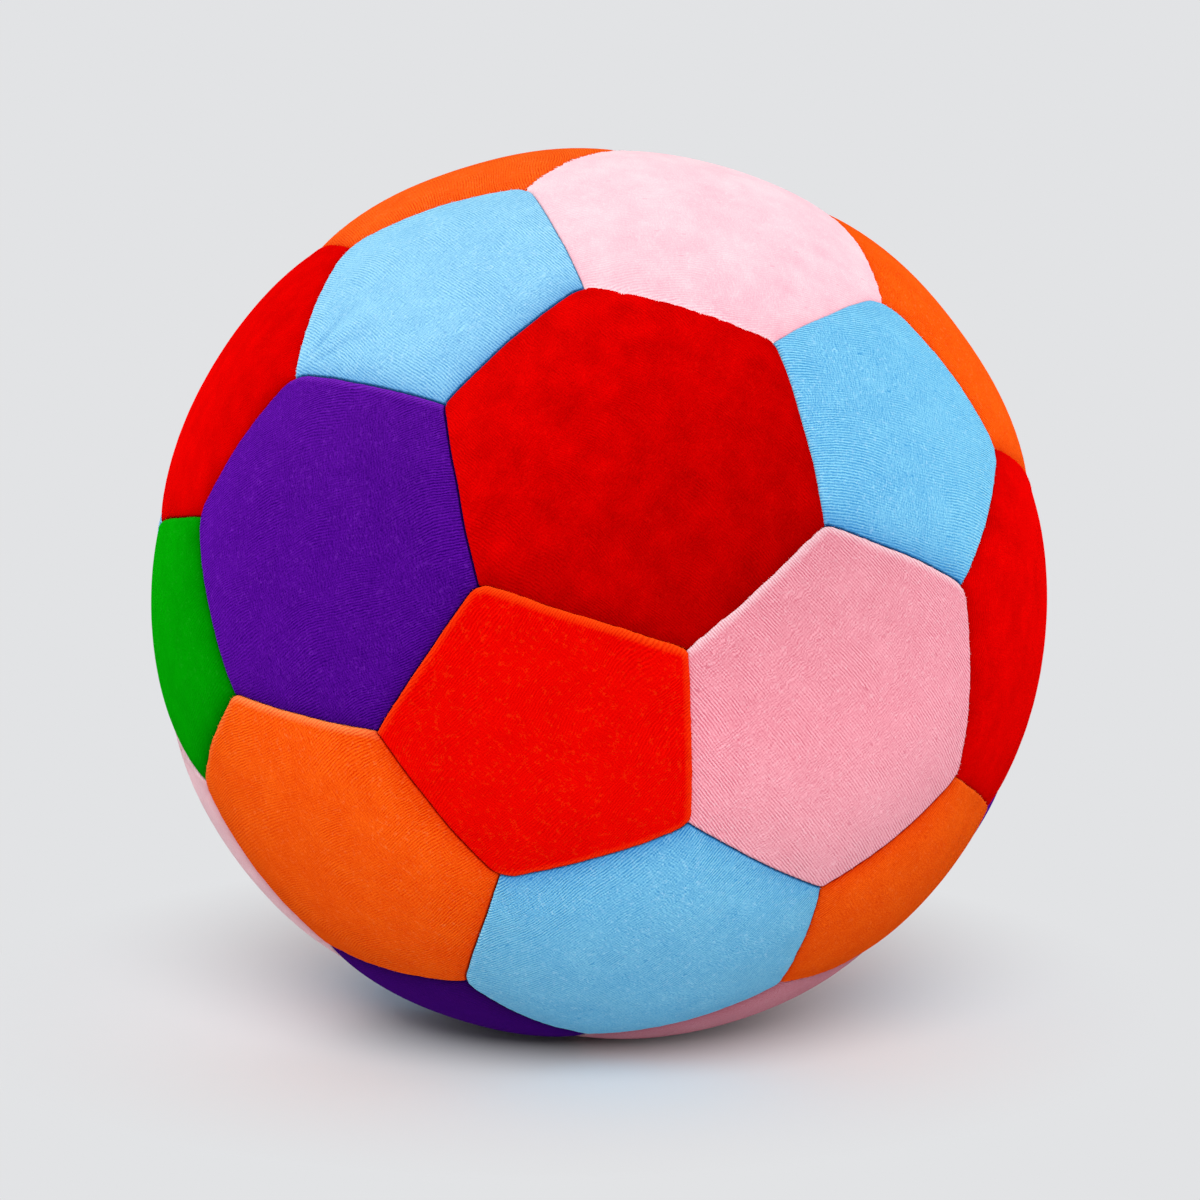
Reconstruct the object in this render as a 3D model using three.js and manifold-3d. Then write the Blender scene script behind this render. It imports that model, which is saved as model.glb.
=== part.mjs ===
// A soft ball sewn from 32 patches of short-pile fabric over a ball of stuffing. Millimetres, +Z up.
// The ball lies on its pressed underside, whose middle is the origin, and is looked at along +Y.
import * as THREE from "three";
import { mergeVertices } from "three/addons/utils/BufferGeometryUtils.js";
import Module from "manifold-3d";

const wasm = await Module();
wasm.setup();

// The stuffed ball, and how it lies: rolled, then leaned back, then turned, in degrees.
const BALL_RADIUS = 100;
const BALL_ROLL = -40;
const BALL_LEAN = -27;
const BALL_TURN = 5;

// A patch: the cloth with its pile, and the seam allowance that is turned in along each side.
const FABRIC_THICKNESS = 1.5;
const ALLOWANCE_DEPTH = 5.2;

// A seam: both patches round over a shoulder and drop to the seam line, a narrow gap apart.
const SHOULDER_WIDTH = 3.5;
const SHOULDER_DROP = 0.3;
const CREASE_DEPTH = 1.3;
const SEAM_GAP = 0.3;

// The sewing thread between the allowances, and the room that the sewn pieces keep.
const THREAD_WIDTH = 0.7;
const CLEARANCE = 0.35;

// The underside: how far the ball's weight presses it in, and the depth of the flat that it rests on.
const PRESSED_IN = 2.5;
const REST_FLAT_DEPTH = 0.5;

// Straight steps along one side of a patch, for the cloth and thread, and for the stuffing. A crown
// has one more ring of points, this share of the way from its middle to its shoulder.
const CLOTH_STEPS = 3;
const STUFFING_STEPS = 1;
const CROWN_RING = 0.5;

// Points of one piece that are closer than this are the same point.
const WELD = 0.0035;

const COLOURS = {
  red: 0xcf0a06,
  pink: 0xf0a9b9,
  light_blue: 0x77bfe6,
  orange: 0xec5212,
  orange_red: 0xe6200a,
  purple: 0x4a1290,
  green: 0x0c8a12,
  thread: 0x4b4646,
  fibrefill: 0xf1efe8,
};
const VELOUR_ROUGHNESS = 0.95;
const THREAD_ROUGHNESS = 0.7;
const FIBREFILL_ROUGHNESS = 1;

// The patches in rings, from the red hexagon in front to the one opposite it. A ring lists its
// colours clockwise from the top, as seen from the front, before the ball is laid down.
const RINGS = [
  { shape: "hexagon", colours: ["red"] },
  { shape: "pentagon", colours: ["light_blue", "light_blue", "orange_red"] },
  { shape: "hexagon", colours: ["pink", "pink", "purple"] },
  { shape: "hexagon", colours: ["orange", "orange", "red", "light_blue", "orange", "red"] },
  { shape: "pentagon", colours: ["red", "orange", "green"] },
  { shape: "pentagon", colours: ["green", "light_blue", "purple"] },
  { shape: "hexagon", colours: ["purple", "pink", "purple", "pink", "pink", "light_blue"] },
  { shape: "hexagon", colours: ["orange", "red", "light_blue"] },
  { shape: "pentagon", colours: ["green", "orange", "red"] },
  { shape: "hexagon", colours: ["pink"] },
];

// Sewing pulls some seam corners off the even layout. A line has the three patches that meet at the
// corner, and how far it is pulled to the right, backwards and upwards on the ball as it lies.
const PULLED_CORNERS = [
  ["hexagon_red_1", "pentagon_light_blue_1", "hexagon_pink_1", -1.5, 0, -2],
  ["hexagon_red_1", "pentagon_light_blue_2", "hexagon_pink_2", 1.5, 0, -0.5],
  ["hexagon_red_1", "hexagon_pink_2", "pentagon_orange_red_1", 2.5, 0, -1],
  ["hexagon_red_1", "pentagon_orange_red_1", "hexagon_purple_1", -2, 0, 0],
  ["pentagon_light_blue_1", "hexagon_purple_1", "hexagon_red_3", -2.5, 0, 0],
  ["pentagon_light_blue_1", "hexagon_red_3", "hexagon_orange_1", -2.5, 0, -1],
  ["pentagon_light_blue_1", "hexagon_orange_1", "hexagon_pink_1", 0, 0, -3],
  ["pentagon_light_blue_2", "hexagon_pink_1", "hexagon_orange_2", -1.5, 0, 0.5],
  ["pentagon_light_blue_2", "hexagon_red_2", "hexagon_pink_2", 2, 0, 0.5],
  ["pentagon_orange_red_1", "hexagon_pink_2", "hexagon_light_blue_1", 2.5, 0, 1.5],
  ["pentagon_orange_red_1", "hexagon_light_blue_1", "hexagon_orange_3", 1, 0, 1.5],
  ["hexagon_orange_3", "pentagon_green_1", "hexagon_pink_5", -1, 0, 4.5],
  ["hexagon_orange_3", "pentagon_purple_1", "hexagon_light_blue_1", 0.5, 0, 3],
  ["hexagon_light_blue_1", "pentagon_purple_1", "hexagon_pink_4", -4, 0, 1.5],
  ["hexagon_pink_2", "pentagon_orange_1", "hexagon_red_2", 1, 0, -3],
  ["hexagon_pink_1", "pentagon_red_1", "hexagon_orange_1", -5.5, 1.5, 0],
  ["hexagon_pink_1", "pentagon_red_1", "hexagon_orange_2", 0, 6.5, 0],
  ["hexagon_red_2", "pentagon_orange_1", "hexagon_purple_3", -1, 2, -2.5],
  ["hexagon_light_blue_1", "pentagon_orange_1", "hexagon_pink_4", 0, -4.5, 1.5],
];

// What follows from these sizes. A radius is from the ball's middle, an inset is across the surface
// from the seam line.
const seamRadius = BALL_RADIUS - CREASE_DEPTH;
const edgeInset = SEAM_GAP / 2;
const threadInset = THREAD_WIDTH / 2;
const threadRadius = seamRadius - ALLOWANCE_DEPTH / 2;
const footRadius = seamRadius - ALLOWANCE_DEPTH;
const footInset = 2 * (threadInset + CLEARANCE) - edgeInset;
const innerInset = footInset + FABRIC_THICKNESS;
const shoulderRadius = BALL_RADIUS - SHOULDER_DROP;
const lumpInset = innerInset + CLEARANCE;
const grooveRadius = footRadius - CLEARANCE;
const middleHeight = BALL_RADIUS - PRESSED_IN - REST_FLAT_DEPTH;

const degrees = THREE.MathUtils.degToRad;
const sum = (...vectors) => vectors.reduce((total, v) => total.add(v), new THREE.Vector3());
const unit = (v) => v.clone().normalize();
const between = (a, b, share) => unit(a.clone().lerp(b, share));
const after = (list, i) => list[(i + 1) % list.length];
const before = (list, i) => list.at(i - 1);

// The corners of an icosahedron. A face looks forward, and has a corner above its middle.
function icosahedronCorners() {
  const golden = (1 + Math.sqrt(5)) / 2;
  const corners = [];
  for (const a of [-1, 1]) {
    for (const b of [-golden, golden]) {
      corners.push(new THREE.Vector3(0, a, b), new THREE.Vector3(a, b, 0), new THREE.Vector3(b, 0, a));
    }
  }
  const back = new THREE.Vector3(-1, -1, -1).normalize();
  const up = new THREE.Vector3(0, 1, golden).projectOnPlane(back).normalize();
  const right = new THREE.Vector3().crossVectors(back, up);
  return corners.map((v) => unit(new THREE.Vector3(v.dot(right), v.dot(back), v.dot(up))));
}

// Pentagon patches lie on the icosahedron's corners and hexagon patches on its faces.
function patchMiddles(corners) {
  const near = (a, b) => a.angleTo(b) < Math.PI / 2;
  const faces = [];
  corners.forEach((a, i) => {
    const later = corners.slice(i + 1).filter((b) => near(a, b));
    later.forEach((b, j) => {
      const thirds = later.slice(j + 1).filter((c) => near(b, c));
      faces.push(...thirds.map((c) => unit(sum(a, b, c))));
    });
  });
  return [...corners, ...faces];
}

// Names and colours go round the rings.
function namedPatches(middles) {
  const front = new THREE.Vector3(0, -1, 0);
  const whole = (angle) => Math.round(THREE.MathUtils.radToDeg(angle));
  const fromFront = (v) => whole(v.angleTo(front));
  const clockwise = (v) => (whole(Math.atan2(v.x, v.z)) + 360) % 360;
  const order = (a, b) => fromFront(a) - fromFront(b) || clockwise(a) - clockwise(b);
  const ordered = [...middles].sort(order);
  const counts = {};
  const patches = [];
  for (const { shape, colours } of RINGS) {
    for (const colour of colours) {
      const kind = `${shape}_${colour}`;
      counts[kind] = (counts[kind] ?? 0) + 1;
      patches.push({ name: `${kind}_${counts[kind]}`, colour, middle: ordered[patches.length] });
    }
  }
  return patches;
}

// A seam corner lies a third of the way along each edge of the icosahedron, from either end.
function seamCorners(corners) {
  const found = [];
  for (const a of corners) {
    for (const b of corners.filter((v) => v !== a && v.angleTo(a) < Math.PI / 2)) {
      found.push(between(a, b, 1 / 3));
    }
  }
  return found;
}

// The ball as it lies: every patch with its corners, counter-clockwise as seen from outside.
function sewnPatches() {
  const lying = new THREE.Euler(degrees(BALL_LEAN), degrees(BALL_ROLL), degrees(BALL_TURN), "ZXY");
  const base = icosahedronCorners();
  const patches = namedPatches(patchMiddles(base));
  const corners = seamCorners(base).map((at) => {
    const nearest = [...patches].sort((a, b) => a.middle.angleTo(at) - b.middle.angleTo(at));
    return { at, around: nearest.slice(0, 3) };
  });
  patches.forEach(({ middle }) => middle.applyEuler(lying));
  corners.forEach(({ at }) => at.applyEuler(lying));
  for (const [first, second, third, right, back, up] of PULLED_CORNERS) {
    const meets = ({ around }) => around.every(({ name }) => [first, second, third].includes(name));
    const pull = new THREE.Vector3(right, back, up).divideScalar(BALL_RADIUS);
    corners.find(meets).at.add(pull).normalize();
  }
  for (const patch of patches) {
    const own = corners.filter(({ around }) => around.includes(patch)).map(({ at }) => at);
    const start = unit(own[0].clone().projectOnPlane(patch.middle));
    const side = new THREE.Vector3().crossVectors(patch.middle, start);
    const angle = (v) => Math.atan2(v.dot(side), v.dot(start));
    patch.corners = own.sort((a, b) => angle(a) - angle(b));
  }
  return patches;
}

// Directions round a patch at an inset from its seams, with steps along each side.
function around(patch, inset, steps) {
  const share = Math.sin(inset / BALL_RADIUS);
  const walls = patch.corners.map((v, i) => unit(v.clone().cross(after(patch.corners, i))));
  const turns = walls.map((wall, i) => {
    const last = before(walls, i);
    const flat = sum(last, wall).multiplyScalar(share / (1 + last.dot(wall)));
    const out = unit(last.clone().cross(wall));
    return flat.addScaledVector(out, Math.sqrt(1 - flat.lengthSq()));
  });
  return turns.flatMap((turn, i) => {
    const shares = Array.from({ length: steps }, (_, step) => step / steps);
    return shares.map((s) => between(turn, after(turns, i), s));
  });
}

// The point at a radius. The underside is pressed in: no height over the sphere's lowest point stays
// under PRESSED_IN, and the whole wall behind a point moves up with it.
function pointAt(direction, radius) {
  const height = BALL_RADIUS * (1 + direction.z);
  const lift = Math.hypot(height, PRESSED_IN) - height;
  return direction.clone().multiplyScalar(radius).add(new THREE.Vector3(0, 0, middleHeight + lift));
}

// Joins rings of as many points each, or of a single point, into a surface. Rings that grow as seen
// from outside the ball face outwards.
function surface(ringLists) {
  const points = [];
  for (const rings of ringLists) {
    rings.slice(1).forEach((outer, k) => {
      const inner = rings[k];
      const count = Math.max(inner.length, outer.length);
      for (let i = 0; i < count; i += 1) {
        const [a, b] = [inner[i % inner.length], inner[(i + 1) % inner.length]];
        const [c, d] = [outer[i % outer.length], outer[(i + 1) % outer.length]];
        if (outer.length > 1) points.push(a, c, d);
        if (inner.length > 1) points.push(a, d, b);
      }
    });
  }
  const geometry = new THREE.BufferGeometry().setFromPoints(points);
  return mergeVertices(geometry, WELD);
}

// A patch is one closed skin: over its crown, down the turned-in allowance and back underneath.
function patchGeometry(patch) {
  const round = (inset) => around(patch, inset, CLOTH_STEPS);
  const shoulder = round(SHOULDER_WIDTH);
  const halfway = shoulder.map((v) => between(patch.middle, v, CROWN_RING));
  const at = (directions, radius) => directions.map((v) => pointAt(v, radius));
  return surface([[
    at([patch.middle], BALL_RADIUS),
    at(halfway, BALL_RADIUS),
    at(shoulder, shoulderRadius),
    at(round(edgeInset), seamRadius),
    at(round(footInset), footRadius),
    at(round(innerInset), footRadius),
    at(round(innerInset), shoulderRadius - FABRIC_THICKNESS),
    at(halfway, BALL_RADIUS - FABRIC_THICKNESS),
    at([patch.middle], BALL_RADIUS - FABRIC_THICKNESS),
  ]]);
}

// The thread follows every seam between the allowances, as one net with a four-sided section.
function threadGeometry(patches) {
  return surface(patches.map((patch) => {
    const seam = around(patch, 0, CLOTH_STEPS);
    const side = around(patch, threadInset, CLOTH_STEPS);
    return [
      seam.map((v) => pointAt(v, threadRadius - threadInset)),
      side.map((v) => pointAt(v, threadRadius)),
      seam.map((v) => pointAt(v, threadRadius + threadInset)),
    ];
  }));
}

// The stuffing fills each patch with a lump, and leaves a groove for the allowances between lumps.
function stuffingGeometry(patches) {
  const lumpRadius = BALL_RADIUS - FABRIC_THICKNESS - CLEARANCE;
  return surface(patches.map((patch) => {
    const rim = around(patch, lumpInset, STUFFING_STEPS);
    const halfway = rim.map((v) => between(patch.middle, v, CROWN_RING));
    return [
      [pointAt(patch.middle, lumpRadius)],
      halfway.map((v) => pointAt(v, lumpRadius)),
      rim.map((v) => pointAt(v, lumpRadius - SHOULDER_DROP)),
      rim.map((v) => pointAt(v, grooveRadius)),
      around(patch, 0, STUFFING_STEPS).map((v) => pointAt(v, grooveRadius)),
    ];
  }));
}

function toSolid(geometry) {
  const vertProperties = new Float32Array(geometry.attributes.position.array);
  const triVerts = new Uint32Array(geometry.index.array);
  return new wasm.Manifold(new wasm.Mesh({ numProp: 3, vertProperties, triVerts }));
}

// Cuts off what reaches below the surface that the ball rests on, which leaves the flat.
function cutAtGround(geometry) {
  geometry.computeBoundingBox();
  if (geometry.boundingBox.min.z >= 0) return geometry;
  const width = 2 * BALL_RADIUS;
  const block = new THREE.BoxGeometry(width, width, width).translate(0, 0, -width / 2);
  block.deleteAttribute("normal");
  block.deleteAttribute("uv");
  const { vertProperties, triVerts } = toSolid(geometry).subtract(toSolid(mergeVertices(block))).getMesh();
  const cut = new THREE.BufferGeometry();
  cut.setAttribute("position", new THREE.BufferAttribute(vertProperties, 3));
  cut.setIndex(new THREE.BufferAttribute(triVerts, 1));
  return cut;
}

function addPiece(ball, name, geometry, colour, roughness) {
  geometry.computeVertexNormals();
  const material = new THREE.MeshStandardMaterial({ color: COLOURS[colour], roughness, metalness: 0 });
  const mesh = new THREE.Mesh(geometry, material);
  mesh.name = name;
  ball.add(mesh);
}

const ball = new THREE.Group();
const patches = sewnPatches();
for (const patch of patches) {
  const geometry = cutAtGround(patchGeometry(patch));
  addPiece(ball, patch.name, geometry, patch.colour, VELOUR_ROUGHNESS);
}
addPiece(ball, "seam_thread", threadGeometry(patches), "thread", THREAD_ROUGHNESS);
addPiece(ball, "stuffing", stuffingGeometry(patches), "fibrefill", FIBREFILL_ROUGHNESS);

export default ball;
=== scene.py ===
import itertools
import math
import random

import bpy
import numpy as np
from mathutils import Matrix, Vector, noise
from mathutils.bvhtree import BVHTree


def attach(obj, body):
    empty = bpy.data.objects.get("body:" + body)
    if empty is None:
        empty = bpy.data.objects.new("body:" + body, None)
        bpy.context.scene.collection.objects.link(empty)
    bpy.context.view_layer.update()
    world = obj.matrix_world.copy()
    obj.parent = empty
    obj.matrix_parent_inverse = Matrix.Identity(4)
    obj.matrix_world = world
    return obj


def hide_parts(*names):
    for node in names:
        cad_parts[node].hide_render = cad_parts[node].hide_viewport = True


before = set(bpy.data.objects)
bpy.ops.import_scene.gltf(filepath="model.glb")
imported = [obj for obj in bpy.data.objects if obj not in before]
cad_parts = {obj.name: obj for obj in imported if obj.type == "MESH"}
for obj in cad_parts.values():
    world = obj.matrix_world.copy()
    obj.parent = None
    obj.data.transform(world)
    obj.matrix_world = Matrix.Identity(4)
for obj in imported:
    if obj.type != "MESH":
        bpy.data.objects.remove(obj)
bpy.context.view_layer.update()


# The cutting plan of the cover.
# The cover is 12 pentagons and 20 hexagons of velour, one pentagon for each corner of an
# icosahedron and one hexagon for each face. This is where each lies once the ball is stuffed.
MM = 0.001
BALL_RADIUS = 100 * MM
BALL_ROLL = -40
BALL_LEAN = -27
BALL_TURN = 5

# The patches in rings, from the red hexagon in front to the one opposite it. A ring lists its
# colours clockwise from the top, as seen from the front, before the ball is laid down.
RINGS = [
    ("hexagon", ["red"]),
    ("pentagon", ["light_blue", "light_blue", "orange_red"]),
    ("hexagon", ["pink", "pink", "purple"]),
    ("hexagon", ["orange", "orange", "red", "light_blue", "orange", "red"]),
    ("pentagon", ["red", "orange", "green"]),
    ("pentagon", ["green", "light_blue", "purple"]),
    ("hexagon", ["purple", "pink", "purple", "pink", "pink", "light_blue"]),
    ("hexagon", ["orange", "red", "light_blue"]),
    ("pentagon", ["green", "orange", "red"]),
    ("hexagon", ["pink"]),
]

# Sewing pulls some seam corners off the even layout. A line has the three patches that meet at
# the corner, and how many millimetres it is pulled to the right, backwards and upwards.
PULLED_CORNERS = [
    ("hexagon_red_1", "pentagon_light_blue_1", "hexagon_pink_1", -1.5, 0, -2),
    ("hexagon_red_1", "pentagon_light_blue_1", "hexagon_purple_1", -0.3, 0, -1.4),
    ("hexagon_red_1", "pentagon_light_blue_2", "hexagon_pink_2", 1.5, 0, -0.5),
    ("hexagon_red_1", "hexagon_pink_2", "pentagon_orange_red_1", 2.5, 0, -1),
    ("hexagon_red_1", "pentagon_orange_red_1", "hexagon_purple_1", -2, 0, 0),
    ("pentagon_light_blue_1", "hexagon_purple_1", "hexagon_red_3", -2.5, 0, 0),
    ("pentagon_light_blue_1", "hexagon_red_3", "hexagon_orange_1", -2.5, 0, -1),
    ("pentagon_light_blue_1", "hexagon_orange_1", "hexagon_pink_1", 0, 0, -3),
    ("pentagon_light_blue_2", "hexagon_pink_1", "hexagon_orange_2", -2.3, 0, 0.5),
    ("pentagon_light_blue_2", "hexagon_red_2", "hexagon_pink_2", 2, 0, 0.5),
    ("pentagon_orange_red_1", "hexagon_pink_2", "hexagon_light_blue_1", 2.5, 0, 1.5),
    ("pentagon_orange_red_1", "hexagon_light_blue_1", "hexagon_orange_3", 1, 0, 1.5),
    ("hexagon_orange_3", "pentagon_green_1", "hexagon_pink_5", -1, 0, 4.5),
    ("hexagon_orange_3", "pentagon_purple_1", "hexagon_light_blue_1", 0.5, 0, 3),
    ("hexagon_light_blue_1", "pentagon_purple_1", "hexagon_pink_4", -4, 0, 1.5),
    ("hexagon_pink_2", "pentagon_orange_1", "hexagon_red_2", 1, 0, -3),
    ("hexagon_pink_1", "pentagon_red_1", "hexagon_orange_1", -5.5, 3.5, 0),
    ("hexagon_pink_1", "pentagon_red_1", "hexagon_orange_2", 0, 9, 0),
    ("hexagon_red_2", "pentagon_orange_1", "hexagon_purple_3", -1, 2, -2.5),
    ("hexagon_light_blue_1", "pentagon_orange_1", "hexagon_pink_4", 0, -4.5, 1.5),
]


def unit(v):
    v = np.asarray(v, float)
    return v / np.linalg.norm(v, axis=-1, keepdims=True)


def between(a, b, share):
    return unit(a + (b - a) * share)


class Patch:
    def __init__(self, name, colour, middle):
        self.name = name
        self.colour = colour
        self.middle = middle


class Corner:
    """A point where three patches meet."""

    def __init__(self, at, patches):
        self.at = at
        self.around = patches


def icosahedron_corners():
    golden = (1 + math.sqrt(5)) / 2
    corners = []
    for a, b in itertools.product((-1, 1), (-golden, golden)):
        corners += [(0, a, b), (a, b, 0), (b, 0, a)]
    back = unit((-1, -1, -1))
    up = np.array((0, 1, golden))
    up = unit(up - back * (up @ back))
    axes = np.array((np.cross(back, up), back, up))
    return unit(np.array(corners) @ axes.T)


def patch_middles(corners):
    near = corners @ corners.T > 0
    faces = []
    for i, j, k in itertools.combinations(range(len(corners)), 3):
        if near[i, j] and near[j, k] and near[i, k]:
            faces.append(unit(corners[i] + corners[j] + corners[k]))
    return [*corners, *faces]


def named_patches(middles):
    def place(v):
        from_front = round(math.degrees(math.acos(np.clip(-v[1], -1, 1))))
        return from_front, round(math.degrees(math.atan2(v[0], v[2]))) % 360

    ordered = iter(sorted(middles, key=place))
    counts = {}
    named = []
    for shape, colours in RINGS:
        for colour in colours:
            kind = f"{shape}_{colour}"
            counts[kind] = counts.get(kind, 0) + 1
            named.append(Patch(f"{kind}_{counts[kind]}", colour, next(ordered)))
    return named


def seam_corners(corners, patches):
    near = corners @ corners.T > 0
    found = []
    for i, j in itertools.permutations(range(len(corners)), 2):
        if near[i, j]:
            at = between(corners[i], corners[j], 1 / 3)
            closest = sorted(patches, key=lambda patch: -(patch.middle @ at))[:3]
            found.append(Corner(at, closest))
    return found


def lay_down(patches, corners):
    turn = Matrix.Rotation(math.radians(BALL_TURN), 3, "Z")
    lean = Matrix.Rotation(math.radians(BALL_LEAN), 3, "X")
    roll = Matrix.Rotation(math.radians(BALL_ROLL), 3, "Y")
    lying = np.array(turn @ lean @ roll)
    for patch in patches:
        patch.middle = lying @ patch.middle
    for corner in corners:
        corner.at = lying @ corner.at


def find_corner(corners, *names):
    return next(c for c in corners if {patch.name for patch in c.around} == set(names))


base = icosahedron_corners()
patches = named_patches(patch_middles(base))
corners = seam_corners(base, patches)
lay_down(patches, corners)
for first, second, third, *pull in PULLED_CORNERS:
    pulled = find_corner(corners, first, second, third)
    pulled.at = unit(pulled.at + np.array(pull) * MM / BALL_RADIUS)
for patch in patches:
    own = [corner for corner in corners if patch in corner.around]
    start = unit(own[0].at - patch.middle * (own[0].at @ patch.middle))
    side = np.cross(patch.middle, start)
    own.sort(key=lambda corner: math.atan2(corner.at @ side, corner.at @ start) % math.tau)
    patch.corners = own


# The 90 seams.
# Two patches lie face to face, are sewn along the side and opened out, so both round over into a
# narrow crease. Where three meet, one patch keeps a rounded corner and the other two butt on it.
SIDE_STEPS = 36
END_CROWDING = 0.5
SEAM_WOBBLE = 0.3 * MM
WOBBLE_LENGTH = 11 * MM
END_PULL = 7 * MM

# The patch with the rounded corner, the two others that meet there, and the radius in millimetres.
ROUNDED_CORNERS = [
    ("hexagon_red_1", "pentagon_light_blue_1", "hexagon_purple_1", 3),
    ("hexagon_red_1", "pentagon_light_blue_1", "hexagon_pink_1", 8),
    ("hexagon_red_1", "hexagon_pink_1", "pentagon_light_blue_2", 5),
    ("hexagon_pink_2", "hexagon_red_1", "pentagon_light_blue_2", 3),
    ("pentagon_orange_red_1", "hexagon_red_1", "hexagon_pink_2", 1.5),
    ("pentagon_orange_red_1", "hexagon_red_1", "hexagon_purple_1", 4),
    ("hexagon_purple_1", "pentagon_light_blue_1", "hexagon_red_3", 9),
    ("pentagon_light_blue_1", "hexagon_red_3", "hexagon_orange_1", 9),
    ("pentagon_light_blue_1", "hexagon_orange_1", "hexagon_pink_1", 5),
    ("pentagon_light_blue_2", "hexagon_pink_1", "hexagon_orange_2", 10),
    ("pentagon_light_blue_2", "hexagon_orange_2", "hexagon_red_2", 7),
    ("hexagon_pink_2", "pentagon_light_blue_2", "hexagon_red_2", 5),
    ("pentagon_orange_red_1", "hexagon_pink_2", "hexagon_light_blue_1", 4),
    ("pentagon_orange_red_1", "hexagon_orange_3", "hexagon_light_blue_1", 6),
    ("hexagon_orange_3", "pentagon_orange_red_1", "hexagon_purple_1", 2),
    ("hexagon_orange_3", "hexagon_purple_1", "pentagon_green_1", 4),
    ("hexagon_purple_1", "hexagon_red_3", "pentagon_green_1", 8),
    ("hexagon_orange_3", "pentagon_green_1", "hexagon_pink_5", 8),
    ("hexagon_orange_3", "hexagon_pink_5", "pentagon_purple_1", 7),
    ("hexagon_light_blue_1", "hexagon_orange_3", "pentagon_purple_1", 7),
    ("hexagon_light_blue_1", "pentagon_purple_1", "hexagon_pink_4", 8),
    ("hexagon_light_blue_1", "hexagon_pink_4", "pentagon_orange_1", 3),
    ("hexagon_pink_2", "hexagon_light_blue_1", "pentagon_orange_1", 2),
    ("hexagon_pink_2", "pentagon_orange_1", "hexagon_red_2", 5),
]
HIDDEN_CORNER_RADII = (2, 8)

chance = random.Random(32)


def tangent(v, towards):
    return unit(towards - v * (towards @ v))


def round_off(corner, leader, radius):
    """Moves a corner into the patch that keeps the rounded edge there."""
    i = leader.corners.index(corner)
    last = tangent(corner.sharp, leader.corners[i - 1].sharp)
    following = tangent(corner.sharp, leader.corners[(i + 1) % len(leader.corners)].sharp)
    half = math.acos(np.clip(last @ following, -1, 1)) / 2
    corner.leader = leader
    corner.radius = radius
    corner.bend_length = radius / math.tan(half)
    corner.bend_start = corner.bend_length - radius * math.cos(half)
    into = radius / math.sin(half) - radius
    corner.at = unit(corner.sharp + unit(last + following) * into / BALL_RADIUS)


class Seam:
    def __init__(self, patches, ends):
        self.patches = patches
        self.ends = ends

    def bend(self, corner, along):
        """How far the seam has left its straight line for the rounded corner, towards the first patch."""
        if corner.leader not in self.patches:
            return 0 * along
        reach = np.clip(corner.bend_length - along, 0, corner.radius)
        towards = 1 if corner.leader is self.patches[0] else -1
        return towards * (corner.radius - np.sqrt(corner.radius**2 - reach**2))

    def lay(self):
        first, last = self.ends
        wall = unit(np.cross(first.sharp, last.sharp))
        wall = wall * np.sign(wall @ self.patches[0].middle)
        length = math.acos(first.sharp @ last.sharp) * BALL_RADIUS
        step = np.linspace(0, 1, SIDE_STEPS + 1)
        step = step + END_CROWDING * ((1 - np.cos(math.pi * step)) / 2 - step)
        start = first.bend_start if first.leader in self.patches else 0
        end = length - (last.bend_start if last.leader in self.patches else 0)
        along = start + (end - start) * step
        line = first.sharp + np.outer(along / length, last.sharp - first.sharp)
        line = unit(line)
        off = self.bend(first, along) + self.bend(last, length - along)
        for i, at in enumerate(line):
            swing = noise.noise(Vector(at) * (BALL_RADIUS / WOBBLE_LENGTH))
            off[i] += SEAM_WOBBLE * swing * math.sin(math.pi * step[i])
        line = line + np.outer(off / BALL_RADIUS, wall)
        near_first = np.exp(-along / END_PULL) * (1 - step)
        near_last = np.exp((along - length) / END_PULL) * step
        near_first /= near_first[0]
        near_last /= near_last[-1]
        line += np.outer(near_first, first.at - line[0])
        line += np.outer(near_last, last.at - line[-1])
        self.line = unit(line)


for corner in corners:
    corner.sharp = corner.at
    corner.leader = None
for leader, second, third, radius in ROUNDED_CORNERS:
    corner = find_corner(corners, leader, second, third)
    round_off(corner, next(p for p in patches if p.name == leader), radius * MM)
for corner in corners:
    if corner.leader is None:
        radius = chance.uniform(*HIDDEN_CORNER_RADII) * MM
        round_off(corner, chance.choice(corner.around), radius)

seams = []
for pair in itertools.combinations(patches, 2):
    ends = [corner for corner in corners if set(pair) <= set(corner.around)]
    if len(ends) == 2:
        seams.append(Seam(pair, ends))
        seams[-1].lay()
for patch in patches:
    edge = []
    patch.seams = []
    for i, corner in enumerate(patch.corners):
        following = patch.corners[(i + 1) % len(patch.corners)]
        seam = next(s for s in seams if patch in s.patches and {*s.ends} == {corner, following})
        line = seam.line if seam.ends[0] is corner else seam.line[::-1]
        edge.append(line[:-1])
        patch.seams.append(seam)
    patch.edge = np.concatenate(edge)


# The stuffed shape of the cover.
# Fibrefill presses every patch outwards while the seams hold it back, so each patch swells into a
# low crown. One skin of all the patches is inflated as cloth, held along its seams.
SEAM_SINK = 0.4 * MM
SKIN_STEPS = 6
SKIN_START = 0.3 * MM
SKIN_MASS = 0.003
FILL_PRESSURE = 1200
FILL_FRAMES = 20
MOST_SWELL = 1.2 * MM
SAME_PLACE = 1e-7
QUICK_SLOPE = 8 * MM


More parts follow.
